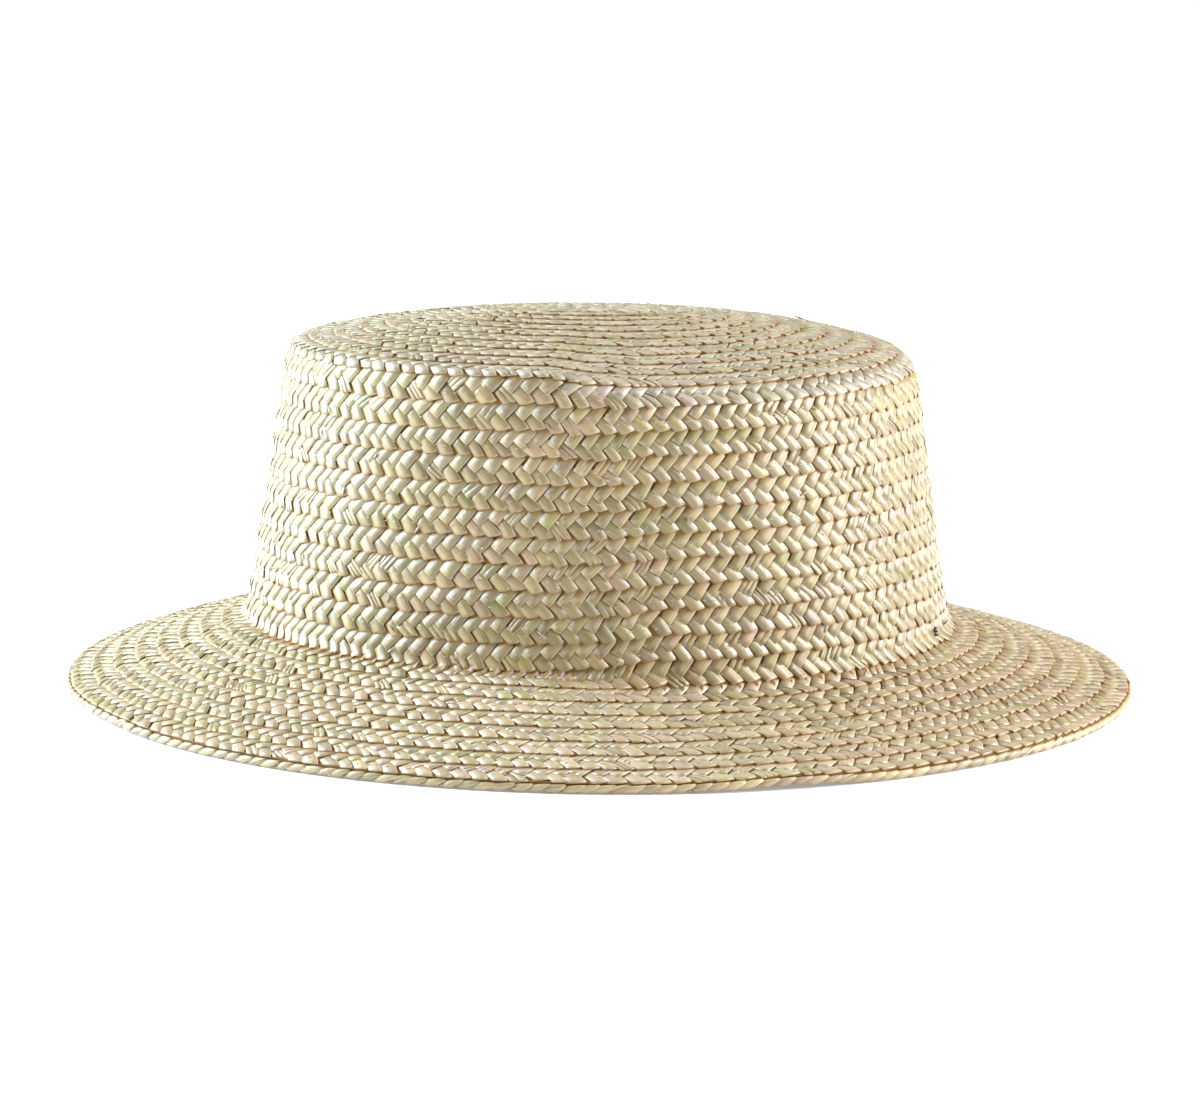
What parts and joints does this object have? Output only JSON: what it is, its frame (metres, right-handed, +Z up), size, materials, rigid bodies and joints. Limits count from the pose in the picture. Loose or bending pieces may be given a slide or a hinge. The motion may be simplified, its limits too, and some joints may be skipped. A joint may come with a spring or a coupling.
{
  "type": "straw boater",
  "caption": "Stiff flat-crowned straw hat of sewn plait: low domed tip, straight leaning side, sloping round brim and a doubled plait edge.",
  "frame": {"origin": "on the floor under the middle of the hat, level with the lowest stretch of the brim's edge", "axes": "+X from the hat's middle to the wearer's back along the long axis of the oval, +Y to the wearer's right, +Z up through the tip"},
  "size_m": [0.3064, 0.265, 0.1072],
  "materials": {
    "tip_straw": "natural plaited straw, satin",
    "side_straw": "natural plaited straw, satin to glossy",
    "brim_straw": "natural plaited straw, satin",
    "edge_straw": "natural plaited straw, doubled, satin"
  },
  "bodies": {
    "root": {"crown_tip": "tip_straw", "crown_side": "side_straw", "brim": "brim_straw", "brim_edge": "edge_straw"}
  },
  "joints": []
}
